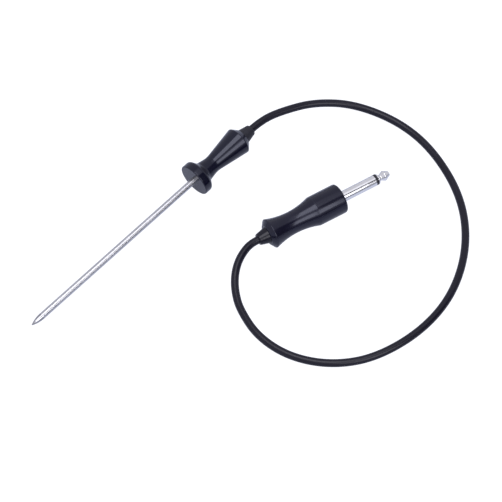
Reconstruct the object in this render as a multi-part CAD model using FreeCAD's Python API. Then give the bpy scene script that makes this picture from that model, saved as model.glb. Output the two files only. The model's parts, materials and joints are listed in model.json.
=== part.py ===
"""Penetration temperature probe with a jack plug on a short lead.

A pointed stainless spike stands in a turned handle. A round two-core lead leaves the
handle through a rubber boot, lies on the table in one open loop, and ends in a waisted
plug handle with a 6.35 mm two-pole jack. Millimetres, +Z up, table at z = 0, and +X
from the spike's point towards the handle. The probe rests on the shoulder of its point
and on the rim of its guard flange, and the plug rests on its shell.
"""
import FreeCAD, Part
import math
import os

from FreeCAD import Placement, Rotation, Vector

# ---- driving dimensions -------------------------------------------------------------
# Along the probe, u is measured from the handle's front face towards the lead.
SPIKE_LENGTH = 124.5         # handle face to the point's end
SPIKE_R = 1.85
SPIKE_BORE_R = 1.35
SPIKE_SEAT_R = 1.65          # turned down inside the handle, so that a shoulder bears on it
SPIKE_SEAT_LENGTH = 14.0
POINT_LENGTH = 7.6           # the ogive
POINT_NOSE_R = 0.2
POINT_SPIGOT_LENGTH = 4.0

FLANGE_R = 9.9
FLANGE_EDGE_R = 0.6
FLANGE_REAR_EDGE_R = 2.0
FLANGE_WIDTH = 4.65
NECK_U = 7.5
NECK_R = 6.1
NECK_ARC_R = 3.0
WAIST_U = 14.4
WAIST_R = 4.8
WAIST_ARC_R = 14.0
GRIP_END_U = 35.6
GRIP_END_R = 8.25
GRIP_EDGE_R = 0.7
HANDLE_LENGTH = 38.7
HANDLE_END_R = 5.3
HANDLE_BORE_R = 3.4
HANDLE_WALL = 2.5            # front wall that the spike passes through

COLLAR_LENGTH = 10.0
COLLAR_GROOVES = (2.0, 4.5, 7.0)
COLLAR_GROOVE_WIDTH = 1.0
COLLAR_GROOVE_DEPTH = 0.4

PROBE_BOOT_BASE_R = 4.65
PROBE_BOOT_TIP_R = 3.15
PROBE_BOOT_LENGTH = 7.0      # the part that shows
BOOT_SPIGOT_LENGTH = 4.5
BOOT_EDGE_R = 0.7
FERRULE_LENGTH = 3.0
FERRULE_R = 3.1
FERRULE_EDGE_R = 0.3

# Sensor in the spike's point, and its splices in the handle.
BEAD_R = 0.7
BEAD_GAP = 2.2               # from the point's spigot to the bead's centre
POTTING_LENGTH = 5.0         # behind the bead's centre
SENSOR_WIRE_R = 0.15
SENSOR_WIRE_ROOT = 0.3       # from the axis, inside the bead
SENSOR_WIRE_OFFSET = 0.55    # from the axis, along the tube
SENSOR_WIRE_SPREAD = 2.0     # length over which the wires move apart
SENSOR_WIRE_IN_CRIMP = 2.6
WIRE_SLEEVE_R = 0.45
WIRE_SLEEVE_GAP = 2.3        # bare wire in front of the crimp
CRIMP_START = 16.0
CRIMP_END = 22.0
CRIMP_LIP = 0.4
CRIMP_OFFSET = 1.35
CRIMP_R = 0.75
SHRINK_R = 1.05

CABLE_R = 2.2
CORE_R = 0.62
CORE_OFFSET = 0.72
CORE_START = 22.5            # end of the insulation behind the crimps
CONDUCTOR_R = 0.28
STRIPPED_LENGTH = 2.4
JACKET_START = 30.0          # both cable tails start this far behind their face

# Along the plug, u is measured from its front face towards the lead; the jack has
# negative u.
PLUG_R = 8.7
PLUG_EDGE_R = 1.3
BARREL_U = 17.5              # end of the plain cylinder
BARREL_END_R = 8.65
BARREL_EDGE_R = 1.0
SWEEP_U = 31.3               # where the tangents of the hollow grip meet
SWEEP_R = 4.1
SWEEP_ARC_R = 43.5
FLARE_U = 45.7
FLARE_R = 8.75
FLARE_EDGE_R = 0.6
PLUG_LENGTH = 47.8
PLUG_END_R = 5.9
PLUG_END_EDGE_R = 0.5
PLUG_BORE_R = 4.4
PLUG_WALL = 1.5
PLUG_BOOT_BASE_R = 4.7
PLUG_BOOT_TIP_R = 3.2
PLUG_BOOT_LENGTH = 5.9

JACK_R = 3.175               # 6.35 mm standard jack
JACK_EDGE_R = 0.12
JACK_LENGTH = 31.75
JACK_BORE_R = 2.2
JACK_GROOVE_R = 3.0          # the moulded shell grips the barrel in this groove
JACK_BODY_GROOVE = (4.5, 5.7)
JACK_BODY_GROOVE_R = 3.6
JACK_BODY_END = 8.0
JACK_SHANK_R = 3.4
JACK_SHANK_END = 10.0        # rear face of the jack's body
RING_LENGTH = 1.5
RING_R = 3.16                # almost flush with the barrel
ROD_R = 1.25

# The tip, from its own end towards the ring.
JACK_HEAD_LENGTH = 7.9
HEAD_FLAT_R = 1.35
HEAD_EDGE_R = 0.5
BALL_U = 3.3
BALL_R = 3.05
NECK_FRONT_U = 5.6
NECK_REAR_U = 6.3
JACK_NECK_R = 1.8
NECK_FRONT_ARC_R = 0.4
NECK_REAR_ARC_R = 0.3
TIP_COLLAR_LENGTH = 0.6
TIP_COLLAR_R = 3.0
TIP_COLLAR_EDGE_R = 0.2
RIVET_LENGTH = 0.8
RIVET_R = 1.9
RIVET_END_R = 1.7
RIVET_EDGE_R = 0.3

# Terminals, and the solder on them.
PLATE = 0.5                  # terminal sheet
INSULATOR_WIDTH = 1.2
INSULATOR_R = 3.35
LUG_R = 2.7
LUG_WIDTH = 2.0
LUG_END = 22.0
LUG_Z = 2.4
EAR_R = 3.7
ARM_WIDTH = 2.6
ARM_LOW_Z = -3.9             # where the arm passes under the rear insulator
ARM_TOP_Z = -2.2             # where it carries the lead
ARM_BEND_START = 16.4
ARM_BEND_LENGTH = 2.0
ARM_BEND_SHIFT = 0.1         # keeps the bent sheet's thickness even
CLAW_START = 32.0
CLAW_END = 36.0
CLAW_GAP = 1.6
CLAW_GAP_Z = 0.5
SOLDER_R = 0.75
SIGNAL_SOLDER = (21.4, 0.0, 3.25)
RETURN_SOLDER = (25.0, 0.0, -1.85)
SIGNAL_CORE = (23.6, 0.1, 2.7)      # free end of the core's insulation
RETURN_CORE = (26.2, -0.15, -1.05)

# Where the plug lies: centre of its front face, and the way that the jack points.
PLUG_X = 88.94
PLUG_Y = -65.75
PLUG_HEADING = -14.35

# The lead's route, chosen by hand. Each end has two more points, which lie on the axis
# of the boot there.
PROBE_END_RUN = 9.0
PLUG_END_RUN = 4.8
ARC_SHARE = 0.45             # part of the shorter run that an arc takes up
LEAD_POINTS = [
    (107.6, -3.7, 12.3),
    (125.2, -11.2, 9.9),
    (142.4, -26.3, 5.8),
    (153.2, -51.7, CABLE_R),
    (152.1, -78.7, CABLE_R),
    (140.2, -110.3, CABLE_R),
    (119.1, -134.3, CABLE_R),
    (90.6, -150.0, CABLE_R),
    (61.0, -153.9, CABLE_R),
    (30.8, -147.6, CABLE_R),
    (10.9, -133.8, CABLE_R),
    (-1.5, -114.2, CABLE_R),
    (-4.5, -92.7, CABLE_R),
    (0.9, -73.7, 2.7),
    (6.8, -64.4, 4.0),
    (12.8, -58.3, 5.6),
    (18.9, -54.4, 7.2),
    (25.4, -52.15, 8.2),
]

# ---- values worked out from them ------------------------------------------------------
POINT_RISE = SPIKE_R - POINT_NOSE_R
POINT_ARC_R = (POINT_LENGTH ** 2 + POINT_RISE ** 2) / (2 * POINT_RISE)
BEAD_U = POINT_LENGTH + POINT_SPIGOT_LENGTH + BEAD_GAP - SPIKE_LENGTH
POTTING_END = BEAD_U + POTTING_LENGTH
TIP_LUG_U = JACK_SHANK_END + PLATE + INSULATOR_WIDTH
PROBE_BOOT_END = HANDLE_LENGTH + PROBE_BOOT_LENGTH
PLUG_BOOT_END = PLUG_LENGTH + PLUG_BOOT_LENGTH


def resting_tilt():
    """Angle of the probe's axis when the table touches the ogive and the flange's edge.

    Seen from the side these are two circles, and the table is their common tangent.
    """
    along = SPIKE_LENGTH + FLANGE_EDGE_R - POINT_LENGTH
    across = (POINT_ARC_R - SPIKE_R) + (FLANGE_R - FLANGE_EDGE_R)
    apart = math.hypot(along, across)
    return math.atan2(across, along) - math.asin((POINT_ARC_R - FLANGE_EDGE_R) / apart)


TILT = resting_tilt()
POINT_BASE_Z = POINT_ARC_R - (POINT_ARC_R - SPIKE_R) * math.cos(TILT)
FACE_Z = POINT_BASE_Z + (SPIKE_LENGTH - POINT_LENGTH) * math.sin(TILT)
FRONT_REACH = SPIKE_LENGTH * math.cos(TILT) + POINT_NOSE_R * math.sin(TILT)
REAR_REACH = (
    (PROBE_BOOT_END - BOOT_EDGE_R) * math.cos(TILT)
    + (PROBE_BOOT_TIP_R - BOOT_EDGE_R) * math.sin(TILT)
    + BOOT_EDGE_R
)
FACE_X = (FRONT_REACH - REAR_REACH) / 2

PROBE_TURN = Rotation(Vector(0, 1, 0), -math.degrees(TILT))
PROBE_PLACE = Placement(Vector(FACE_X, 0, FACE_Z), PROBE_TURN)
PLUG_TURN = Rotation(Vector(0, 0, 1), PLUG_HEADING + 180)
PLUG_PLACE = Placement(Vector(PLUG_X, PLUG_Y, PLUG_R), PLUG_TURN)


# ---- building blocks ----------------------------------------------------------------
def rounded_path(points, radii, closed):
    """Edges through the points, each corner rounded by a tangent arc of its radius."""
    count = len(points)
    starts = []
    ends = []
    arcs = []
    for i, corner in enumerate(points):
        if not closed and i in (0, count - 1):
            radius = 0
        else:
            radius = radii[i]
        if radius == 0:
            starts.append(corner)
            ends.append(corner)
            arcs.append(None)
            continue
        back = (points[i - 1] - corner).normalize()
        ahead = (points[(i + 1) % count] - corner).normalize()
        half_turn = (math.pi - back.getAngle(ahead)) / 2
        reach = radius * math.tan(half_turn)
        middle = (back + ahead).normalize()
        centre = corner + middle * (radius / math.cos(half_turn))
        starts.append(corner + back * reach)
        ends.append(corner + ahead * reach)
        arcs.append(centre - middle * radius)
    edges = []
    for i in range(count):
        if arcs[i] is not None:
            edges.append(Part.Arc(starts[i], arcs[i], ends[i]).toShape())
        if closed or i < count - 1:
            following = starts[(i + 1) % count]
            if ends[i].distanceToPoint(following) > 1e-6:
                edges.append(Part.LineSegment(ends[i], following).toShape())
    return edges


def turned(section):
    """Solid of revolution about the u axis; section is a closed loop of (u, r, corner r)."""
    points = [Vector(corner[0], corner[1], 0) for corner in section]
    radii = [corner[2] if len(corner) == 3 else 0 for corner in section]
    face = Part.Face(Part.Wire(rounded_path(points, radii, True)))
    return face.revolve(Vector(0, 0, 0), Vector(1, 0, 0), 360)


def tube(start_u, end_u, outer_r, inner_r):
    """Plain tube on the u axis."""
    return turned([(start_u, inner_r), (start_u, outer_r), (end_u, outer_r), (end_u, inner_r)])


def rod(start, end, radius):
    """Round bar between two points given as (u, side, height)."""
    first = Vector(*start)
    last = Vector(*end)
    return Part.makeCylinder(radius, first.distanceToPoint(last), first, last - first)


def sleeve(start, end, outer_r, inner_r):
    """Round tube between two points given as (u, side, height)."""
    return rod(start, end, outer_r).cut(rod(start, end, inner_r))


def save(node, shape, place):
    """Write one node, and check that each of its pieces is a sound solid."""
    placed = shape.copy()
    placed.Placement = place
    volume = sum(solid.Volume for solid in placed.Solids)
    if not placed.isValid() or volume <= 0:
        raise ValueError("bad solid in " + node)
    placed.exportStep("parts/" + node + ".step")
    print("%-26s %2d solid(s) %9.2f mm3" % (node, len(placed.Solids), volume))


# ---- spike and sensor ---------------------------------------------------------------
def spike_tube():
    start = POINT_LENGTH - SPIKE_LENGTH
    return turned([
        (start, SPIKE_BORE_R), (start, SPIKE_R), (0, SPIKE_R), (0, SPIKE_SEAT_R),
        (SPIKE_SEAT_LENGTH, SPIKE_SEAT_R), (SPIKE_SEAT_LENGTH, SPIKE_BORE_R),
    ])


def spike_point():
    """Solid ogive with a spigot that is welded into the tube's end."""
    base = POINT_LENGTH - SPIKE_LENGTH
    nose = -SPIKE_LENGTH
    middle_u = base - POINT_LENGTH / 2
    middle_r = SPIKE_R - POINT_ARC_R + math.sqrt(POINT_ARC_R ** 2 - (POINT_LENGTH / 2) ** 2)
    spigot_end = base + POINT_SPIGOT_LENGTH
    flat = Vector(nose, POINT_NOSE_R, 0)
    shoulder = Vector(base, SPIKE_R, 0)
    rest = Part.makePolygon([
        shoulder, Vector(base, SPIKE_BORE_R, 0), Vector(spigot_end, SPIKE_BORE_R, 0),
        Vector(spigot_end, 0, 0), Vector(nose, 0, 0), flat,
    ])
    ogive = Part.Arc(flat, Vector(middle_u, middle_r, 0), shoulder).toShape()
    face = Part.Face(Part.Wire([ogive] + rest.Edges))
    return face.revolve(Vector(0, 0, 0), Vector(1, 0, 0), 360)


def thermistor_bead():
    """Glass bead with two blind holes for its wires."""
    bead = Part.makeSphere(BEAD_R, Vector(BEAD_U, 0, 0))
    for side in (1, -1):
        bead = bead.cut(bead_wire(side))
    return bead


def bead_wire(side):
    """Bare wire from inside the bead to the crimp, with a bend at each change of way."""
    offset = side * SENSOR_WIRE_OFFSET
    corners = [
        (BEAD_U, side * SENSOR_WIRE_ROOT, 0),
        (BEAD_U + SENSOR_WIRE_SPREAD, offset, 0),
        (CRIMP_START - SENSOR_WIRE_SPREAD, offset, 0),
        (CRIMP_START, side * CRIMP_OFFSET, 0),
        (CRIMP_START + SENSOR_WIRE_IN_CRIMP, side * CRIMP_OFFSET, 0),
    ]
    wire = rod(corners[0], corners[1], SENSOR_WIRE_R)
    for start, end in zip(corners[1:], corners[2:]):
        wire = wire.fuse(Part.makeSphere(SENSOR_WIRE_R, Vector(*start)))
        wire = wire.fuse(rod(start, end, SENSOR_WIRE_R))
    return wire.removeSplitter()


def wire_sleeve(side):
    start = (POTTING_END, side * SENSOR_WIRE_OFFSET, 0)
    end = (CRIMP_START - WIRE_SLEEVE_GAP, side * SENSOR_WIRE_OFFSET, 0)
    return sleeve(start, end, WIRE_SLEEVE_R, SENSOR_WIRE_R)


def bead_potting():
    """Thermal epoxy around the bead, from the point's spigot to the wire sleeves."""
    start = POINT_LENGTH - SPIKE_LENGTH + POINT_SPIGOT_LENGTH
    block = rod((start, 0, 0), (POTTING_END, 0, 0), SPIKE_BORE_R)
    block = block.cut(Part.makeSphere(BEAD_R, Vector(BEAD_U, 0, 0)))
    for side in (1, -1):
        block = block.cut(bead_wire(side))
    return block


def spike_collar():
    """Ferrule brazed on the spike's seat, grooved to hold the adhesive in the handle."""
    start = HANDLE_WALL
    end = start + COLLAR_LENGTH
    groove_r = HANDLE_BORE_R - COLLAR_GROOVE_DEPTH
    section = [(start, SPIKE_SEAT_R), (start, HANDLE_BORE_R)]
    for groove in COLLAR_GROOVES:
        groove_start = start + groove
        groove_end = groove_start + COLLAR_GROOVE_WIDTH
        section.append((groove_start, HANDLE_BORE_R))
        section.append((groove_start, groove_r))
        section.append((groove_end, groove_r))
        section.append((groove_end, HANDLE_BORE_R))
    section.append((end, HANDLE_BORE_R))
    section.append((end, SPIKE_SEAT_R))
    return turned(section)


# ---- handle -------------------------------------------------------------------------
def probe_handle():
    return turned([
        (0, SPIKE_SEAT_R),
        (0, FLANGE_R, FLANGE_EDGE_R),
        (FLANGE_WIDTH, FLANGE_R, FLANGE_REAR_EDGE_R),
        (NECK_U, NECK_R, NECK_ARC_R),
        (WAIST_U, WAIST_R, WAIST_ARC_R),
        (GRIP_END_U, GRIP_END_R, GRIP_EDGE_R),
        (HANDLE_LENGTH, HANDLE_END_R),
        (HANDLE_LENGTH, HANDLE_BORE_R),
        (HANDLE_WALL, HANDLE_BORE_R),
        (HANDLE_WALL, SPIKE_SEAT_R),
    ])


def boot(base_u, base_r, tip_r, length, spigot_r):
    """Tapered strain relief with a spigot that closes the handle's bore."""
    end = base_u + length
    return turned([
        (base_u - BOOT_SPIGOT_LENGTH, CABLE_R),
        (base_u - BOOT_SPIGOT_LENGTH, spigot_r),
        (base_u, spigot_r),
        (base_u, base_r),
        (end, tip_r, BOOT_EDGE_R),
        (end, CABLE_R),
    ])


def core(start, end_u, side):
    """Insulated core, still with its copper: through the jacket, then straight to start."""
    jacket = (JACKET_START, side * CORE_OFFSET, 0)
    inside = rod(jacket, (end_u, side * CORE_OFFSET, 0), CORE_R)
    return inside.fuse(rod(start, jacket, CORE_R)).removeSplitter()


def cable_tail(starts, end_u):
    """The lead's jacket inside a boot, less its cores; starts are the cores' free ends."""
    tail = rod((JACKET_START, 0, 0), (end_u, 0, 0), CABLE_R)
    for side, start in starts:
        tail = tail.cut(core(start, end_u, side))
    return tail


def conductor(start, end_u, side):
    """Copper of one core, bared for a short way beyond the insulation."""
    jacket = Vector(JACKET_START, side * CORE_OFFSET, 0)
    end = Vector(end_u, side * CORE_OFFSET, 0)
    free_end = Vector(*start)
    beyond = free_end + (free_end - jacket).normalize() * STRIPPED_LENGTH
    bent = rod(beyond, jacket, CONDUCTOR_R)
    inside = rod(jacket, end, CONDUCTOR_R)
    return bent.fuse(inside).fuse(Part.makeSphere(CONDUCTOR_R, jacket)).removeSplitter()


def splice_crimp(side):
    start = (CRIMP_START + CRIMP_LIP, side * CRIMP_OFFSET, 0)
    end = (CRIMP_END, side * CRIMP_OFFSET, 0)
    barrel = rod(start, end, CRIMP_R)
    barrel = barrel.cut(bead_wire(side))
    return barrel.cut(conductor((CORE_START, side * CRIMP_OFFSET, 0), PROBE_BOOT_END, side))


def splice_sleeve(side):
    start = (CRIMP_START + CRIMP_LIP, side * CRIMP_OFFSET, 0)
    end = (CRIMP_END, side * CRIMP_OFFSET, 0)
    return sleeve(start, end, SHRINK_R, CRIMP_R)


def cable_ferrule():
    """Ring crimped on the jacket, so that a pull on the lead stops at the boot's spigot."""
    end = HANDLE_LENGTH - BOOT_SPIGOT_LENGTH
    start = end - FERRULE_LENGTH
    return turned([
        (start, CABLE_R), (start, FERRULE_R, FERRULE_EDGE_R), (end, FERRULE_R), (end, CABLE_R),
    ])


# ---- plug ---------------------------------------------------------------------------
def plug_shell():
    return turned([
        (0, JACK_GROOVE_R),
        (0, PLUG_R, PLUG_EDGE_R),
        (BARREL_U, BARREL_END_R, BARREL_EDGE_R),
        (SWEEP_U, SWEEP_R, SWEEP_ARC_R),
        (FLARE_U, FLARE_R, FLARE_EDGE_R),
        (PLUG_LENGTH, PLUG_END_R, PLUG_END_EDGE_R),
        (PLUG_LENGTH, PLUG_BORE_R),
        (PLUG_WALL, PLUG_BORE_R),
        (PLUG_WALL, JACK_GROOVE_R),
    ])


def jack_sleeve():
    """Earth contact: the barrel that shows, a groove, and the body in the shell."""
    front = JACK_HEAD_LENGTH + RING_LENGTH - JACK_LENGTH
    groove_start, groove_end = JACK_BODY_GROOVE
    return turned([
        (front, JACK_BORE_R),
        (front, JACK_R, JACK_EDGE_R),
        (0, JACK_R),
        (0, JACK_GROOVE_R),
        (PLUG_WALL, JACK_GROOVE_R),
        (PLUG_WALL, PLUG_BORE_R),
        (groove_start, PLUG_BORE_R),
        (groove_start, JACK_BODY_GROOVE_R),
        (groove_end, JACK_BODY_GROOVE_R),
        (groove_end, PLUG_BORE_R),
        (JACK_BODY_END, PLUG_BORE_R),
        (JACK_BODY_END, JACK_SHANK_R),
        (JACK_SHANK_END, JACK_SHANK_R),
        (JACK_SHANK_END, JACK_BORE_R),
    ])


def front_insulator():
    """Ring that shows behind the tip, in one piece with the tube inside the barrel."""
    front = JACK_HEAD_LENGTH - JACK_LENGTH
    return turned([
        (front, ROD_R),
        (front, RING_R),
        (front + RING_LENGTH, RING_R),
        (front + RING_LENGTH, JACK_BORE_R),
        (JACK_SHANK_END + PLATE, JACK_BORE_R),
        (JACK_SHANK_END + PLATE, ROD_R),
    ])


def rear_insulator():
    return tube(JACK_SHANK_END + PLATE, TIP_LUG_U, INSULATOR_R, ROD_R)


def jack_tip():
    """Signal contact: head, neck, collar and the rod, peened over the tip terminal."""
    end = -JACK_LENGTH
    collar = end + JACK_HEAD_LENGTH
    rivet = TIP_LUG_U + PLATE
    rivet_end = rivet + RIVET_LENGTH
    return turned([
        (end, 0),
        (end, HEAD_FLAT_R, HEAD_EDGE_R),
        (end + BALL_U, BALL_R, HEAD_EDGE_R),
        (end + NECK_FRONT_U, JACK_NECK_R, NECK_FRONT_ARC_R),
        (end + NECK_REAR_U, JACK_NECK_R, NECK_REAR_ARC_R),
        (collar - TIP_COLLAR_LENGTH, TIP_COLLAR_R, TIP_COLLAR_EDGE_R),
        (collar, TIP_COLLAR_R),
        (collar, ROD_R),
        (rivet, ROD_R),
        (rivet, RIVET_R, RIVET_EDGE_R),
        (rivet_end, RIVET_END_R, RIVET_EDGE_R),
        (rivet_end, 0),
    ])


def tip_terminal():
    """Sheet lug on the rod's end, with an arm bent back towards the lead."""
    plate = tube(TIP_LUG_U, TIP_LUG_U + PLATE, LUG_R, ROD_R)
    corner = Vector(TIP_LUG_U, -LUG_WIDTH / 2, LUG_Z)
    arm = Part.makeBox(LUG_END - TIP_LUG_U, LUG_WIDTH, PLATE, corner)
    return plate.fuse(arm).removeSplitter()


def sleeve_terminal():
    """Sheet terminal on the jack's body: an arm to the rear, and claws round the lead."""
    plate = tube(JACK_SHANK_END, JACK_SHANK_END + PLATE, EAR_R, JACK_BORE_R)
    low_bend = ARM_BEND_START + ARM_BEND_SHIFT
    top_bend = ARM_BEND_START - ARM_BEND_SHIFT
    outline = [
        (JACK_SHANK_END, ARM_LOW_Z),
        (low_bend, ARM_LOW_Z),
        (low_bend + ARM_BEND_LENGTH, ARM_TOP_Z - PLATE),
        (CLAW_END, ARM_TOP_Z - PLATE),
        (CLAW_END, ARM_TOP_Z),
        (top_bend + ARM_BEND_LENGTH, ARM_TOP_Z),
        (top_bend, ARM_LOW_Z + PLATE),
        (JACK_SHANK_END, ARM_LOW_Z + PLATE),
        (JACK_SHANK_END, ARM_LOW_Z),
    ]
    side = Part.makePolygon([Vector(u, -ARM_WIDTH / 2, height) for u, height in outline])
    arm = Part.Face(side).extrude(Vector(0, ARM_WIDTH, 0))
    claws = tube(CLAW_START, CLAW_END, CABLE_R + PLATE, CABLE_R)
    corner = Vector(CLAW_START, -CLAW_GAP / 2, CLAW_GAP_Z)
    gap = Part.makeBox(CLAW_END - CLAW_START, CLAW_GAP, 2 * CABLE_R, corner)
    return plate.fuse(arm).fuse(claws.cut(gap)).removeSplitter()


def solder_joint(place, terminal, wire):
    """Solder blob on a terminal, around the end of its wire."""
    blob = Part.makeSphere(SOLDER_R, Vector(*place))
    return blob.cut(terminal).cut(wire)


# ---- lead ---------------------------------------------------------------------------
def lead_route():
    """The route's points: the boot's axis, the free lead, and the plug's axis."""
    points = [
        PROBE_PLACE.multVec(Vector(PROBE_BOOT_END, 0, 0)),
        PROBE_PLACE.multVec(Vector(PROBE_BOOT_END + PROBE_END_RUN, 0, 0)),
    ]
    for point in LEAD_POINTS:
        points.append(Vector(*point))
    points.append(PLUG_PLACE.multVec(Vector(PLUG_BOOT_END + PLUG_END_RUN, 0, 0)))
    points.append(PLUG_PLACE.multVec(Vector(PLUG_BOOT_END, 0, 0)))
    return points


def arc_radii(points, runs):
    """Radii whose arcs take up a set share of the shorter run beside each corner.

    An end run holds one arc, so that arc may have twice the share of it.
    """
    room = [2 * runs[0]] + runs[1:-1] + [2 * runs[-1]]
    radii = [0]
    for i in range(1, len(points) - 1):
        half_turn = (points[i] - points[i - 1]).getAngle(points[i + 1] - points[i]) / 2
        radii.append(ARC_SHARE * min(room[i - 1], room[i]) / math.tan(half_turn))
    return radii + [0]


def cable():
    """Round lead: straight runs joined by tangent arcs."""
    points = lead_route()
    runs = [start.distanceToPoint(end) for start, end in zip(points, points[1:])]
    radii = arc_radii(points, runs)
    path = Part.Wire(rounded_path(points, radii, False))
    section = Part.Wire(Part.makeCircle(CABLE_R, points[0], points[1] - points[0]))
    swept = path.makePipeShell([section], True, False)
    ideal = math.pi * CABLE_R ** 2 * path.Length
    print("lead: length %.1f" % path.Length)
    print("lead: arc radii", [round(radius, 1) for radius in radii[1:-1]])
    print("lead: runs", [round(run, 1) for run in runs])
    print("lead: volume %.1f, section times length %.1f" % (swept.Volume, ideal))
    return swept


# ---- all nodes ----------------------------------------------------------------------
def probe_nodes():
    strain_relief = boot(
        HANDLE_LENGTH, PROBE_BOOT_BASE_R, PROBE_BOOT_TIP_R, PROBE_BOOT_LENGTH, HANDLE_BORE_R
    )
    nodes = {
        "spike_point": spike_point(),
        "spike_tube": spike_tube(),
        "thermistor_bead": thermistor_bead(),
        "bead_potting": bead_potting(),
        "spike_collar": spike_collar(),
        "probe_handle": probe_handle(),
        "cable_ferrule": cable_ferrule(),
        "probe_boot": strain_relief,
    }
    starts = {1: (CORE_START, CRIMP_OFFSET, 0), -1: (CORE_START, -CRIMP_OFFSET, 0)}
    nodes["probe_cable_tail"] = cable_tail(starts.items(), PROBE_BOOT_END)
    for name, side in (("signal", 1), ("return", -1)):
        copper = conductor(starts[side], PROBE_BOOT_END, side)
        nodes["sensor_wire_" + name] = bead_wire(side)
        nodes["wire_sleeve_" + name] = wire_sleeve(side)
        nodes["splice_crimp_" + name] = splice_crimp(side)
        nodes["splice_sleeve_" + name] = splice_sleeve(side)
        nodes["probe_core_" + name] = core(starts[side], PROBE_BOOT_END, side).cut(copper)
        nodes["probe_conductor_" + name] = copper
    return nodes


def plug_nodes():
    tip_lug = tip_terminal()
    sleeve_lug = sleeve_terminal()
    signal_wire = conductor(SIGNAL_CORE, PLUG_BOOT_END, 1)
    return_wire = conductor(RETURN_CORE, PLUG_BOOT_END, -1)
    strain_relief = boot(
        PLUG_LENGTH, PLUG_BOOT_BASE_R, PLUG_BOOT_TIP_R, PLUG_BOOT_LENGTH, PLUG_BORE_R
    )
    return {
        "plug_shell": plug_shell(),
        "jack_sleeve": jack_sleeve(),
        "front_insulator": front_insulator(),
        "jack_tip": jack_tip(),
        "rear_insulator": rear_insulator(),
        "tip_terminal": tip_lug,
        "sleeve_terminal": sleeve_lug,
        "solder_joint_signal": solder_joint(SIGNAL_SOLDER, tip_lug, signal_wire),
        "solder_joint_return": solder_joint(RETURN_SOLDER, sleeve_lug, return_wire),
        "plug_core_signal": core(SIGNAL_CORE, PLUG_BOOT_END, 1).cut(signal_wire),
        "plug_core_return": core(RETURN_CORE, PLUG_BOOT_END, -1).cut(return_wire),
        "plug_conductor_signal": signal_wire,
        "plug_conductor_return": return_wire,
        "plug_cable_tail": cable_tail([(1, SIGNAL_CORE), (-1, RETURN_CORE)], PLUG_BOOT_END),
        "plug_boot": strain_relief,
    }


os.makedirs("parts", exist_ok=True)
for node_name, node_shape in probe_nodes().items():
    save(node_name, node_shape, PROBE_PLACE)
for node_name, node_shape in plug_nodes().items():
    save(node_name, node_shape, PLUG_PLACE)
save("cable", cable(), Placement())
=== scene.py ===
"""Looks of a penetration temperature probe with a jack plug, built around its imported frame.

Metres. The turned pieces are made on two axes, which the frame's mounts give: u runs
along a piece from its front face towards the lead, and r is the distance from the axis.
"""

import json
import math

import bpy
from mathutils import Matrix, Vector


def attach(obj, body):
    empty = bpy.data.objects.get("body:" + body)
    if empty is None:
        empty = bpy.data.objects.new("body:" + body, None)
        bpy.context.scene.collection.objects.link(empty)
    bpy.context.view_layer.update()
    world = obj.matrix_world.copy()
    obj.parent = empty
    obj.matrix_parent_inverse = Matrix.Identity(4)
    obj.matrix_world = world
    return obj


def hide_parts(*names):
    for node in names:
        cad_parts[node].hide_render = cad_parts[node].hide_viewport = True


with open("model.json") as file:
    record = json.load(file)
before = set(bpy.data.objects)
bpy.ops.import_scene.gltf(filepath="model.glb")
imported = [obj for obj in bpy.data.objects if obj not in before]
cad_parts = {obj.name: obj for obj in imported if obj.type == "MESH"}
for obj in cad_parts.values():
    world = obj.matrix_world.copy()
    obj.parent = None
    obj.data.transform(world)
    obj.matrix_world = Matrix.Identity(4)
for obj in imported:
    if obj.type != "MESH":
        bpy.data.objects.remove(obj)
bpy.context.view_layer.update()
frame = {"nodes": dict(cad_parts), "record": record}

MM = 0.001
MOUNTS = {mount["name"]: mount for mount in frame["record"]["mounts"]}

# ---- sizes, in millimetres ------------------------------------------------------------
SPIKE_R = MOUNTS["spike"]["dims"]["r_mm"]
SPIKE_TUBE = MOUNTS["spike"]["dims"]["length_mm"]
POINT_LENGTH = 7.6
POINT_NOSE_R = 0.2
SPIKE_BORE_R = 1.35
SPIKE_SEAT_R = 1.65
SPIKE_SEAT_LENGTH = 14.0
SPIGOT_LENGTH = 4.0

FLANGE_R = 9.9
FLANGE_WIDTH = 4.65
COVE_U = 7.5
COVE_R = 6.1
WAIST_U = 14.4
WAIST_R = 4.8
GRIP_END_U = 35.6
GRIP_END_R = 8.25
HANDLE_LENGTH = 38.7
HANDLE_END_R = 5.3
HANDLE_BORE_R = 3.4
HANDLE_WALL = 2.5
PROBE_BOOT_BASE_R = 4.65
PROBE_BOOT_TIP_R = 3.15
PROBE_BOOT_LENGTH = 7.0

PLUG_R = 8.7
BARREL_END_U = 17.5
BARREL_END_R = 8.65
SWEEP_U = 31.3
SWEEP_R = 4.1
FLARE_U = 45.7
FLARE_R = 8.75
PLUG_LENGTH = 47.8
PLUG_END_R = 5.9
PLUG_BORE_R = 4.4
PLUG_WALL = 1.5
PLUG_BOOT_BASE_R = 4.7
PLUG_BOOT_TIP_R = 3.2
PLUG_BOOT_LENGTH = 5.9
BOOT_SPIGOT = 4.5
BOOT_ROUNDING = 0.7

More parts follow.
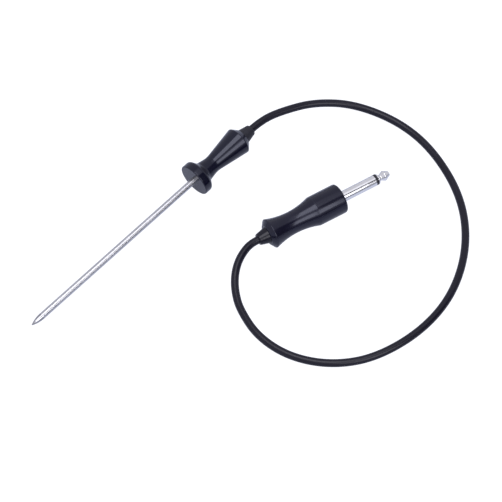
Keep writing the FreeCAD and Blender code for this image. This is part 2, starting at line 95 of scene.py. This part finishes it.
JACK_R = MOUNTS["jack"]["dims"]["r_mm"]
RING_FRONT = -MOUNTS["jack"]["dims"]["length_mm"]
RING_LENGTH = 1.5
RING_R = 3.16
JACK_END = -31.75
JACK_NOSE_R = 1.35
JACK_BALL_U = JACK_END + 3.3
JACK_BALL_R = 3.05
JACK_NECK_U = (JACK_END + 5.6, JACK_END + 6.3)
JACK_NECK_R = 1.8
JACK_COLLAR_R = 3.0
JACK_COLLAR_WIDTH = 0.6
JACK_BORE_R = 2.2
JACK_GROOVE_R = 3.0
SHANK_GROOVE_U = (4.5, 5.7)
SHANK_GROOVE_R = 3.6
SHANK_STEP_U = 8.0
SHANK_R = 3.4
SHANK_END = 10.0
ROD_R = 1.25
INSULATOR_END = 10.5
RIVET = 12.2
RIVET_HEIGHT = 0.8
RIVET_BASE_R = 1.9
RIVET_TOP_R = 1.7

CABLE_R = 2.2
PROBE_END_RUN = 9.0
PLUG_END_RUN = 4.8

# The free lead's route in millimetres, between the two points at each end that lie on
# the axis of the boot there.
LEAD_POINTS = [
    (107.6, -3.7, 12.3),
    (125.2, -11.2, 9.9),
    (142.4, -26.3, 5.8),
    (153.2, -51.7, CABLE_R),
    (152.1, -78.7, CABLE_R),
    (140.2, -110.3, CABLE_R),
    (119.1, -134.3, CABLE_R),
    (90.6, -150.0, CABLE_R),
    (61.0, -153.9, CABLE_R),
    (30.8, -147.6, CABLE_R),
    (10.9, -133.8, CABLE_R),
    (-1.5, -114.2, CABLE_R),
    (-4.5, -92.7, CABLE_R),
    (0.9, -73.7, 2.7),
    (6.8, -64.4, 4.0),
    (12.8, -58.3, 5.6),
    (18.9, -54.4, 7.2),
    (25.4, -52.15, 8.2),
]

TURNED_SIDES = 144
ARC_STEP = math.radians(4)
SHARP_ANGLE = math.radians(32)
ON_AXIS = 1e-6  # a point nearer the axis than this is one vertex, not a ring
WEAR_LIMIT = 2.0  # outer corners rounded by less than this show handling wear

# The parts of a noise's range from 0 to 1 over which each kind of mark comes in.
PATCH_SPAN = (0.3, 0.7)
LINE_SPAN = (0.35, 0.65)
SMEAR_SPAN = (0.52, 0.68)
RUB_SPAN = (0.42, 0.62)
RUB_SIZE = 1.1
GRAIN_GLOSS = 0.25  # share of a material's gloss variation that its grain has
LINE_SHADE = 0.7  # colour of a line's darkest marks, as a share of the material's own


# ---- placing --------------------------------------------------------------------------
def piece_axes(mount):
    """Matrix from (u, across, up) on a turned piece's axis to the row frame."""
    along = -Vector(mount["axis"]).normalized()
    across = Vector((0, 0, 1)).cross(along).normalized()
    place = Matrix((along, across, along.cross(across))).transposed().to_4x4()
    place.translation = Vector(mount["pos_m"])
    return place


PROBE_AXES = piece_axes(MOUNTS["spike"])
PLUG_AXES = piece_axes(MOUNTS["jack"])


# ---- turned meshes --------------------------------------------------------------------
def corner_arc(before, corner, after, radius):
    """Points of the tangent arc that rounds a corner."""
    back = (before - corner).normalized()
    ahead = (after - corner).normalized()
    half_turn = (math.pi - back.angle(ahead)) / 2
    middle = (back + ahead).normalized()
    centre = corner + middle * (radius / math.cos(half_turn))
    reach = radius * math.tan(half_turn)
    start = corner + back * reach - centre
    end = corner + ahead * reach - centre
    turn = math.atan2(start.cross(end), start.dot(end))
    steps = max(2, math.ceil(abs(turn) / ARC_STEP))
    points = []
    for i in range(steps + 1):
        angle = turn * i / steps
        spoke = Vector((
            start.x * math.cos(angle) - start.y * math.sin(angle),
            start.x * math.sin(angle) + start.y * math.cos(angle),
        ))
        points.append(centre + spoke)
    return points


def outline_points(section):
    """(point, wear) along a closed section of (u, r) or (u, r, corner radius)."""
    corners = [Vector(corner[:2]) for corner in section]
    made = []
    for i, corner in enumerate(corners):
        radius = section[i][2] if len(section[i]) == 3 else 0
        if radius == 0:
            made.append((corner, 0.0))
            continue
        before, after = corners[i - 1], corners[(i + 1) % len(corners)]
        outward = (corner - before).cross(after - corner) < 0
        worn = 1.0 if outward and radius < WEAR_LIMIT else 0.0
        arc = corner_arc(before, corner, after, radius)
        for step, point in enumerate(arc):
            share = step / (len(arc) - 1)
            made.append((point, worn * math.sin(math.pi * share)))
    return made


def turned(name, section, axes):
    """Mesh object of a section turned about the u axis, with its wear as an attribute."""
    outline = outline_points(section)
    points, wear, rings = [], [], []
    for point, worn in outline:
        count = 1 if point.y < ON_AXIS else TURNED_SIDES
        rings.append(range(len(points), len(points) + count))
        for side in range(count):
            angle = 2 * math.pi * side / TURNED_SIDES
            reach = point.y * MM
            points.append((point.x * MM, reach * math.sin(angle), reach * math.cos(angle)))
            wear.append(worn)
    faces = []
    for i, ring in enumerate(rings):
        other = rings[(i + 1) % len(rings)]
        if len(ring) == len(other) == 1:
            continue
        for side in range(TURNED_SIDES):
            near = [ring[side % len(ring)], ring[(side + 1) % len(ring)]]
            far = [other[(side + 1) % len(other)], other[side % len(other)]]
            faces.append(list(dict.fromkeys(reversed(near + far))))
    mesh = bpy.data.meshes.new(name)
    mesh.from_pydata(points, [], faces)
    mesh.attributes.new("wear", "FLOAT", "POINT").data.foreach_set("value", wear)
    own = mesh.attributes.new("own_place", "FLOAT_VECTOR", "POINT")
    own.data.foreach_set("vector", [number for point in points for number in point])
    mesh.transform(axes)
    mesh.validate()
    mesh.shade_smooth()
    mesh.set_sharp_from_angle(angle=SHARP_ANGLE)
    made = bpy.data.objects.new(name, mesh)
    bpy.context.scene.collection.objects.link(made)
    return made


def stand_for(piece, node, material_slot, material=None):
    """A detailed piece takes a CAD node's place."""
    piece.data.materials.append(material or MATERIALS[material_slot])
    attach(piece, "root")
    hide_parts(node)


# ---- materials ------------------------------------------------------------------------
def add(tree, kind, sockets=None, **properties):
    """New node, with its sockets set from values or linked from other nodes' outputs."""
    made = tree.nodes.new(kind)
    for name, value in properties.items():
        setattr(made, name, value)
    for socket, value in (sockets or {}).items():
        if isinstance(value, bpy.types.NodeSocket):
            tree.links.new(value, made.inputs[socket])
        else:
            made.inputs[socket].default_value = value
    return made


def noise(tree, place, size, detail=2.0):
    """Noise from 0 to 1 whose marks are size millimetres long on each of three axes."""
    scale = [1 / (length * MM) for length in size]
    scaled = add(tree, "ShaderNodeVectorMath", {0: place, 1: scale}, operation="MULTIPLY")
    made = add(tree, "ShaderNodeTexNoise", {
        "Vector": scaled.outputs["Vector"], "Scale": 1.0, "Detail": detail,
    })
    return made.outputs["Fac"]


def remap(tree, value, from_low, from_high, to_low, to_high, curve="LINEAR"):
    made = add(tree, "ShaderNodeMapRange", {
        "Value": value, "From Min": from_low, "From Max": from_high,
        "To Min": to_low, "To Max": to_high,
    }, interpolation_type=curve)
    return made.outputs["Result"]


def combine(tree, operation, first, second):
    sockets = {0: first, 1: second}
    return add(tree, "ShaderNodeMath", sockets, operation=operation).outputs["Value"]


def blend_colour(tree, factor, first, second):
    # A mix node has a set of sockets for each data type; these are the colour ones.
    sockets = {0: factor, 6: first, 7: second}
    return add(tree, "ShaderNodeMix", sockets, data_type="RGBA").outputs[2]


def bump(tree, height, depth, normal=None):
    """Normal from a height of 0 to 1 that stands for depth millimetres."""
    sockets = {"Height": height, "Strength": 1.0, "Distance": depth * MM}
    if normal:
        sockets["Normal"] = normal
    return add(tree, "ShaderNodeBump", sockets).outputs["Normal"]


def finish(name, colour, roughness, metallic=0.0, tint=0.08, patch=9.0, gloss=0.2,
           grain=0.3, grain_depth=0.002, lines=None, line_depth=0.0, line_gloss=0.1,
           worn=None, smears=None, turned_piece=False, specular=0.5,
           specular_tint=(1.0, 1.0, 1.0)):
    """Procedural material; sizes are in millimetres.

    tint and gloss are the shares by which colour and roughness vary over patches; grain
    is an even bump; lines are long marks, longest on the axis with the largest size;
    worn is the colour and roughness of rubbed outer edges; smears add dull patches.
    """
    material = bpy.data.materials.new(name)
    material.use_nodes = True
    tree = material.node_tree
    shader = tree.nodes["Principled BSDF"]
    shader.inputs["Metallic"].default_value = metallic
    shader.inputs["Specular IOR Level"].default_value = specular
    shader.inputs["Specular Tint"].default_value = (*specular_tint, 1)
    if turned_piece:
        place = add(tree, "ShaderNodeAttribute", attribute_name="own_place").outputs["Vector"]
    else:
        place = add(tree, "ShaderNodeTexCoord").outputs["Object"]
    patches = remap(tree, noise(tree, place, (patch,) * 3, 3.0), *PATCH_SPAN, 0.0, 1.0)
    darker = (*[channel * (1 - tint) for channel in colour], 1)
    lighter = (*[channel * (1 + tint) for channel in colour], 1)
    shown = blend_colour(tree, patches, darker, lighter)
    even = noise(tree, place, (grain,) * 3, 3.0)
    rough = remap(tree, patches, 0.0, 1.0, roughness * (1 - gloss), roughness * (1 + gloss))
    swing = GRAIN_GLOSS * gloss * roughness
    rough = combine(tree, "ADD", rough, remap(tree, even, *PATCH_SPAN, -swing, swing))
    normal = bump(tree, even, grain_depth)
    if lines:
        marks = noise(tree, place, lines, 4.0)
        normal = bump(tree, marks, line_depth, normal)
        uneven = remap(tree, marks, *LINE_SPAN, -line_gloss, line_gloss)
        rough = combine(tree, "ADD", rough, uneven)
        streaks = remap(tree, marks, *PATCH_SPAN, 0.0, 0.5 * tint)
        shaded = (*[LINE_SHADE * channel for channel in colour], 1)
        shown = blend_colour(tree, streaks, shown, shaded)
    if smears:
        smeared = noise(tree, place, (smears,) * 3, 5.0)
        dull = remap(tree, smeared, *SMEAR_SPAN, 0.0, 0.5 * gloss)
        rough = combine(tree, "ADD", rough, combine(tree, "MULTIPLY", dull, roughness * 2))
    if worn:
        wear = add(tree, "ShaderNodeAttribute", attribute_name="wear").outputs["Fac"]
        rubbed = remap(tree, noise(tree, place, (RUB_SIZE,) * 3, 5.0), *RUB_SPAN, 0.1, 1.0)
        share = combine(tree, "MULTIPLY", wear, rubbed)
        worn_colour, worn_roughness = worn
        shown = blend_colour(tree, share, shown, (*worn_colour, 1))
        extra = combine(tree, "MULTIPLY", share, worn_roughness - roughness)
        rough = combine(tree, "ADD", rough, extra)
    clamped = add(tree, "ShaderNodeClamp", {"Value": rough, "Min": 0.03, "Max": 1.0})
    tree.links.new(shown, shader.inputs["Base Color"])
    tree.links.new(clamped.outputs["Result"], shader.inputs["Roughness"])
    tree.links.new(normal, shader.inputs["Normal"])
    return material


# Colours, gloss and lights are fitted together to how the photograph looks. They aren't
# measured values of these materials.
STEEL = (0.52, 0.52, 0.53)
# The point is the same steel as the tube. Its colour is darkened with painted shade, only
# because it looks darker in the photograph than these lights make it.
SHADED_POINT_STEEL = (0.38, 0.38, 0.39)
BLUE_SHEEN = (0.84, 0.87, 1.0)  # the black plastics reflect a little more blue
MATERIALS = {
    # Drawn tube: fine lines along its length, dulled a little by use.
    "stainless": finish(
        "stainless", STEEL, 0.30, 1.0, tint=0.05, patch=14.0, gloss=0.15, grain=0.2,
        grain_depth=0.0002, lines=(30.0, 0.3, 0.3), line_depth=0.0006, line_gloss=0.03,
        smears=7.0, turned_piece=True),
    "handle_black": finish(
        "handle_black", (0.0032, 0.0032, 0.0105), 0.13, tint=0.15, patch=11.0, gloss=0.2,
        grain=1.3, grain_depth=0.0022, lines=(3.0, 0.22, 9.0), line_depth=0.0004,
        line_gloss=0.008, smears=6.0, worn=((0.012, 0.012, 0.020), 0.24), turned_piece=True,
        specular=0.42, specular_tint=BLUE_SHEEN),
    "plug_black": finish(
        "plug_black", (0.0040, 0.0036, 0.0115), 0.16, tint=0.15, patch=10.0, gloss=0.2,
        grain=0.9, grain_depth=0.0022, lines=(2.6, 0.2, 8.0), line_depth=0.0004,
        line_gloss=0.01, smears=5.0, worn=((0.013, 0.013, 0.022), 0.30), turned_piece=True,
        specular=0.42, specular_tint=BLUE_SHEEN),
    "boot_black": finish(
        "boot_black", (0.008, 0.008, 0.014), 0.44, tint=0.12, patch=5.0, gloss=0.15,
        grain=0.16, grain_depth=0.004, worn=((0.016, 0.016, 0.022), 0.55), turned_piece=True,
        specular=0.4),
    "plug_boot_black": finish(
        "plug_boot_black", (0.0050, 0.0048, 0.0105), 0.20, tint=0.12, patch=5.0, gloss=0.2,
        grain=0.5, grain_depth=0.003, worn=((0.013, 0.013, 0.019), 0.4), turned_piece=True,
        specular=0.28),
    "lead_jacket": finish(
        "lead_jacket", (0.0040, 0.0034, 0.0100), 0.30, tint=0.14, patch=16.0, gloss=0.15,
        grain=0.35, grain_depth=0.002, smears=9.0, specular=0.3),
    # Plating over a turned barrel, with the scratches of the sockets it has been in.
    "nickel_plate": finish(
        "nickel_plate", (0.78, 0.78, 0.78), 0.12, 1.0, tint=0.04, patch=6.0, gloss=0.25,
        grain=0.5, grain_depth=0.0002, lines=(9.0, 0.4, 0.4), line_depth=0.0003,
        line_gloss=0.02, smears=4.0, worn=((0.80, 0.78, 0.76), 0.16), turned_piece=True),
    "insulator_black": finish(
        "insulator_black", (0.008, 0.008, 0.014), 0.34, tint=0.12, patch=3.0, grain=0.12,
        grain_depth=0.002),
    "brass": finish(
        "brass", (0.70, 0.50, 0.22), 0.26, 1.0, tint=0.1, patch=3.0, grain=0.2,
        grain_depth=0.001, lines=(0.08, 6.0, 6.0), line_depth=0.001, line_gloss=0.04),
    "copper": finish(
        "copper", (0.75, 0.38, 0.22), 0.30, 1.0, tint=0.12, patch=2.0, grain=0.15,
        grain_depth=0.001),
    "solder": finish(
        "solder", (0.60, 0.60, 0.58), 0.32, 1.0, tint=0.08, patch=1.5, grain=0.3,
        grain_depth=0.006),
    "tin_plate": finish(
        "tin_plate", (0.62, 0.62, 0.61), 0.34, 1.0, tint=0.06, patch=2.0, grain=0.15,
        grain_depth=0.001, lines=(4.0, 0.1, 0.1), line_depth=0.001, line_gloss=0.03),
    "core_red": finish("core_red", (0.40, 0.02, 0.02), 0.42, tint=0.08, patch=4.0),
    "core_white": finish("core_white", (0.75, 0.75, 0.72), 0.42, tint=0.03, patch=4.0),
    "ptfe_white": finish("ptfe_white", (0.80, 0.80, 0.78), 0.36, tint=0.02, patch=4.0),
    "shrink_black": finish(
        "shrink_black", (0.018, 0.018, 0.018), 0.5, tint=0.1, patch=3.0, grain=0.4,
        grain_depth=0.008),
    "bead_glass": finish(
        "bead_glass", (0.30, 0.14, 0.07), 0.06, tint=0.15, patch=0.8, grain=0.4,
        grain_depth=0.002),
    "potting_epoxy": finish(
        "potting_epoxy", (0.70, 0.68, 0.60), 0.4, tint=0.06, patch=2.0, grain=0.12,
        grain_depth=0.006),
}

# The point is ground on a turning machine, so its fine lines run round it. Its colour is the
# tube's steel darkened with painted shade.
GROUND_SHADED_STEEL = finish(
    "stainless_ground_shaded", SHADED_POINT_STEEL, 0.19, 1.0, tint=0.05, patch=6.0, gloss=0.15, grain=0.2,
    grain_depth=0.0004, lines=(0.1, 12.0, 12.0), line_depth=0.0012, line_gloss=0.03,
    smears=4.0, turned_piece=True)


# ---- spike ----------------------------------------------------------------------------
def spike():
    nose = -SPIKE_TUBE - POINT_LENGTH
    arc_r = (POINT_LENGTH ** 2 + (SPIKE_R - POINT_NOSE_R) ** 2) / (2 * (SPIKE_R - POINT_NOSE_R))
    turn = math.asin(POINT_LENGTH / arc_r)
    corner = -SPIKE_TUBE - arc_r * math.tan(turn / 2)
    point = turned("ground_point", [
        (nose, 0), (nose, POINT_NOSE_R), (corner, SPIKE_R, arc_r), (-SPIKE_TUBE, SPIKE_R),
        (-SPIKE_TUBE, SPIKE_BORE_R), (SPIGOT_LENGTH - SPIKE_TUBE, SPIKE_BORE_R),
        (SPIGOT_LENGTH - SPIKE_TUBE, 0),
    ], PROBE_AXES)
    # The point's material is the steel darkened with painted shade.
    stand_for(point, "spike_point", "stainless", GROUND_SHADED_STEEL)
    tube = turned("drawn_tube", [
        (-SPIKE_TUBE, SPIKE_BORE_R), (-SPIKE_TUBE, SPIKE_R), (0, SPIKE_R), (0, SPIKE_SEAT_R),
        (SPIKE_SEAT_LENGTH, SPIKE_SEAT_R), (SPIKE_SEAT_LENGTH, SPIKE_BORE_R),
    ], PROBE_AXES)
    stand_for(tube, "spike_tube", "stainless")


# ---- handle ---------------------------------------------------------------------------
def probe_handle():
    handle = turned("moulded_handle", [
        (0, SPIKE_SEAT_R), (0, FLANGE_R, 0.6), (FLANGE_WIDTH, FLANGE_R, 2.0),
        (COVE_U, COVE_R, 3.0), (WAIST_U, WAIST_R, 14.0), (GRIP_END_U, GRIP_END_R, 0.7),
        (HANDLE_LENGTH, HANDLE_END_R, 0.3), (HANDLE_LENGTH, HANDLE_BORE_R),
        (HANDLE_WALL, HANDLE_BORE_R), (HANDLE_WALL, SPIKE_SEAT_R),
    ], PROBE_AXES)
    stand_for(handle, "probe_handle", "handle_black")


def boot(name, base_u, base_r, tip_r, length, spigot_r, axes):
    """Tapered strain relief with a spigot inside its handle."""
    front, rear = base_u - BOOT_SPIGOT, base_u + length
    return turned(name, [
        (front, CABLE_R), (front, spigot_r), (base_u, spigot_r), (base_u, base_r),
        (rear, tip_r, BOOT_ROUNDING), (rear, CABLE_R),
    ], axes)


# ---- plug -----------------------------------------------------------------------------
def plug():
    shell = turned("moulded_plug", [
        (0, JACK_GROOVE_R), (0, PLUG_R, 1.3), (BARREL_END_U, BARREL_END_R, 1.0),
        (SWEEP_U, SWEEP_R, 43.5), (FLARE_U, FLARE_R, 0.6), (PLUG_LENGTH, PLUG_END_R, 0.5),
        (PLUG_LENGTH, PLUG_BORE_R), (PLUG_WALL, PLUG_BORE_R), (PLUG_WALL, JACK_GROOVE_R),
    ], PLUG_AXES)
    stand_for(shell, "plug_shell", "plug_black")
    barrel_front = RING_FRONT + RING_LENGTH
    barrel = turned("plated_barrel", [
        (barrel_front, JACK_BORE_R), (barrel_front, JACK_R, 0.12), (0, JACK_R),
        (0, JACK_GROOVE_R), (PLUG_WALL, JACK_GROOVE_R), (PLUG_WALL, PLUG_BORE_R),
        (SHANK_GROOVE_U[0], PLUG_BORE_R), (SHANK_GROOVE_U[0], SHANK_GROOVE_R),
        (SHANK_GROOVE_U[1], SHANK_GROOVE_R), (SHANK_GROOVE_U[1], PLUG_BORE_R),
        (SHANK_STEP_U, PLUG_BORE_R), (SHANK_STEP_U, SHANK_R), (SHANK_END, SHANK_R),
        (SHANK_END, JACK_BORE_R),
    ], PLUG_AXES)
    stand_for(barrel, "jack_sleeve", "nickel_plate")
    ring = turned("jack_ring", [
        (RING_FRONT, ROD_R), (RING_FRONT, RING_R), (barrel_front, RING_R),
        (barrel_front, JACK_BORE_R), (INSULATOR_END, JACK_BORE_R), (INSULATOR_END, ROD_R),
    ], PLUG_AXES)
    stand_for(ring, "front_insulator", "insulator_black")
    tip = turned("plated_tip", [
        (JACK_END, 0), (JACK_END, JACK_NOSE_R, 0.5), (JACK_BALL_U, JACK_BALL_R, 0.5),
        (JACK_NECK_U[0], JACK_NECK_R, 0.4), (JACK_NECK_U[1], JACK_NECK_R, 0.3),
        (RING_FRONT - JACK_COLLAR_WIDTH, JACK_COLLAR_R, 0.2), (RING_FRONT, JACK_COLLAR_R),
        (RING_FRONT, ROD_R), (RIVET, ROD_R), (RIVET, RIVET_BASE_R, 0.3),
        (RIVET + RIVET_HEIGHT, RIVET_TOP_R, 0.3), (RIVET + RIVET_HEIGHT, 0),
    ], PLUG_AXES)
    stand_for(tip, "jack_tip", "nickel_plate")
    plug_boot = boot("moulded_plug_boot", PLUG_LENGTH, PLUG_BOOT_BASE_R, PLUG_BOOT_TIP_R,
                     PLUG_BOOT_LENGTH, PLUG_BORE_R, PLUG_AXES)
    stand_for(plug_boot, "plug_boot", "plug_boot_black")


# ---- lead -----------------------------------------------------------------------------
def lead():
    probe_end = HANDLE_LENGTH + PROBE_BOOT_LENGTH
    plug_end = PLUG_LENGTH + PLUG_BOOT_LENGTH
    route = [PROBE_AXES @ Vector((u * MM, 0, 0))
             for u in (probe_end, probe_end + PROBE_END_RUN)]
    route += [Vector(point) * MM for point in LEAD_POINTS]
    route += [PLUG_AXES @ Vector((u * MM, 0, 0))
              for u in (plug_end + PLUG_END_RUN, plug_end)]
    curve = bpy.data.curves.new("lead", "CURVE")
    curve.dimensions = "3D"
    curve.bevel_depth = CABLE_R * MM
    curve.bevel_resolution = 12
    curve.resolution_u = 24
    curve.use_fill_caps = True
    spline = curve.splines.new("NURBS")
    spline.points.add(len(route) - 1)
    for control, place in zip(spline.points, route):
        control.co = (*place, 1)
    spline.order_u = 3
    spline.use_endpoint_u = True
    made = bpy.data.objects.new("lead", curve)
    bpy.context.scene.collection.objects.link(made)
    stand_for(made, "cable", "lead_jacket")
    on_the_cord = [
        "moulded_plug", "plated_barrel", "jack_ring", "plated_tip", "moulded_plug_boot",
    ]
    on_the_cord += [node for node in frame["record"]["physics"]["cord_nodes"]
                    if not frame["nodes"][node].hide_render]


# ---- stage ----------------------------------------------------------------------------
CAMERA_TARGET = Vector((32.99, -50.93, 0.0)) * MM
CAMERA_DISTANCE = 1.5
CAMERA_AZIMUTH = math.radians(-45.478)
CAMERA_ELEVATION = math.radians(57.808)
CAMERA_LENS = 194.5

# Name, colour and glow. The table that the camera sees is bleached, as in a catalogue
# photograph. The pieces are lit by, and reflect, the plain one.
BLEACHED_FLOOR = ("floor_bleached", (0.35, 0.35, 0.35), 0.82)
PLAIN_FLOOR = ("floor_plain", (0.37, 0.39, 0.46), 0.31)
FLOOR_SIZE = 4.0

# Name, then azimuth, elevation, width and height in degrees, then radiance. They are
# placed by trial, so that their reflections fall where the photograph has them.
SOFTBOXES = [
    ("top_softbox", -90, 84, 34, 36, 3.5),
    ("side_softbox", -10, 38, 36, 26, 3.5),
    ("side_edge", -10, 55, 30, 9, 0.8),
    ("fill_softbox", 90, 72, 36, 14, 0.4),
]
SOFTBOX_DISTANCE = 1.6
SOFTBOX_COLOUR = (0.93, 0.93, 1.0)
LIGHT_UNIT = math.pi  # watts for each square metre of a softbox of radiance 1
ROOM_COLOUR = (0.90, 0.90, 1.0, 1)
ROOM_LIGHT = 0.80
DARK_LIGHT = 0.12
# Where the dark panel and the dark wall begin and end, as parts of a unit vector.
PANEL_LEFT_X = (0.12, 0.22)
PANEL_RIGHT_X = (0.62, 0.80)
PANEL_Y = (-0.42, -0.28)
WALL_Y = (-0.75, -0.4)
WALL_TOP_Z = (0.10, 0.32)


def direction(azimuth, elevation):
    """Unit vector towards a place on the sky; azimuth 0 is -Y and 90 degrees is +X."""
    flat = math.cos(elevation)
    return Vector((math.sin(azimuth) * flat, -math.cos(azimuth) * flat, math.sin(elevation)))


def camera():
    data = bpy.data.cameras.new("camera")
    data.lens = CAMERA_LENS
    data.clip_start = 0.05
    data.clip_end = 20
    made = bpy.data.objects.new("camera", data)
    back = direction(CAMERA_AZIMUTH, CAMERA_ELEVATION)
    made.location = CAMERA_TARGET + back * CAMERA_DISTANCE
    made.rotation_euler = (-back).to_track_quat("-Z", "Y").to_euler()
    bpy.context.scene.collection.objects.link(made)
    bpy.context.scene.camera = made


def floor(name, colour, glow):
    mesh = bpy.data.meshes.new(name)
    far = FLOOR_SIZE
    corners = [(-far, -far, 0), (far, -far, 0), (far, far, 0), (-far, far, 0)]
    mesh.from_pydata(corners, [], [(0, 1, 2, 3)])
    made = bpy.data.objects.new(name, mesh)
    material = bpy.data.materials.new(name)
    material.use_nodes = True
    shader = material.node_tree.nodes["Principled BSDF"]
    shader.inputs["Base Color"].default_value = (*colour, 1)
    shader.inputs["Roughness"].default_value = 1.0
    shader.inputs["Specular IOR Level"].default_value = 0.0
    glow_colour = [channel / max(colour) for channel in colour]
    shader.inputs["Emission Color"].default_value = (*glow_colour, 1)
    shader.inputs["Emission Strength"].default_value = glow
    mesh.materials.append(material)
    bpy.context.scene.collection.objects.link(made)
    return made


def softbox(name, azimuth, elevation, width, height, radiance):
    """Rectangular light, placed and sized by angles in degrees seen from the object."""
    azimuth, elevation, width, height = map(math.radians, (azimuth, elevation, width, height))
    data = bpy.data.lights.new(name, "AREA")
    data.shape = "RECTANGLE"
    data.size = 2 * SOFTBOX_DISTANCE * math.tan(width / 2)
    data.size_y = 2 * SOFTBOX_DISTANCE * math.tan(height / 2)
    data.energy = radiance * LIGHT_UNIT * data.size * data.size_y
    data.color = SOFTBOX_COLOUR
    made = bpy.data.objects.new(name, data)
    towards = direction(azimuth, elevation)
    made.location = CAMERA_TARGET + towards * SOFTBOX_DISTANCE
    made.rotation_euler = towards.to_track_quat("Z", "Y").to_euler()
    bpy.context.scene.collection.objects.link(made)


def sky():
    """Even room light, with a dark panel beside the softboxes and a dark wall under them."""
    world = bpy.data.worlds.new("studio")
    world.use_nodes = True
    tree = world.node_tree
    background = tree.nodes["Background"]
    background.inputs["Color"].default_value = ROOM_COLOUR
    looking = add(tree, "ShaderNodeTexCoord").outputs["Generated"]
    apart = add(tree, "ShaderNodeSeparateXYZ", {"Vector": looking})
    x, y, z = (apart.outputs[axis] for axis in "XYZ")
    left = remap(tree, x, *PANEL_LEFT_X, 0.0, 1.0, "SMOOTHSTEP")
    right = remap(tree, x, *PANEL_RIGHT_X, 1.0, 0.0, "SMOOTHSTEP")
    top = remap(tree, y, *PANEL_Y, 1.0, 0.0, "SMOOTHSTEP")
    panel = combine(tree, "MULTIPLY", combine(tree, "MULTIPLY", left, right), top)
    near_side = remap(tree, y, *WALL_Y, 1.0, 0.0, "SMOOTHSTEP")
    low = remap(tree, z, *WALL_TOP_Z, 1.0, 0.0, "SMOOTHSTEP")
    wall = combine(tree, "MULTIPLY", near_side, low)
    dark = combine(tree, "MAXIMUM", panel, wall)
    strength = remap(tree, dark, 0.0, 1.0, ROOM_LIGHT, DARK_LIGHT)
    tree.links.new(strength, background.inputs["Strength"])
    bpy.context.scene.world = world


spike()
probe_handle()
probe_boot = boot("moulded_boot", HANDLE_LENGTH, PROBE_BOOT_BASE_R, PROBE_BOOT_TIP_R,
                  PROBE_BOOT_LENGTH, HANDLE_BORE_R, PROBE_AXES)
stand_for(probe_boot, "probe_boot", "boot_black")
plug()
lead()
for subpart in frame["record"]["subparts"]:
    for socket in frame["nodes"][subpart["node"]].material_slots:
        socket.material = MATERIALS[subpart["material_slot"]]
camera()
seen_floor = floor(*BLEACHED_FLOOR)
seen_floor.visible_diffuse = False
seen_floor.visible_glossy = False
seen_floor.visible_shadow = False
lighting_floor = floor(*PLAIN_FLOOR)
lighting_floor.visible_camera = False
lighting_floor.visible_shadow = False
sky()
for light in SOFTBOXES:
    softbox(*light)
bpy.context.scene.view_settings.view_transform = "Standard"
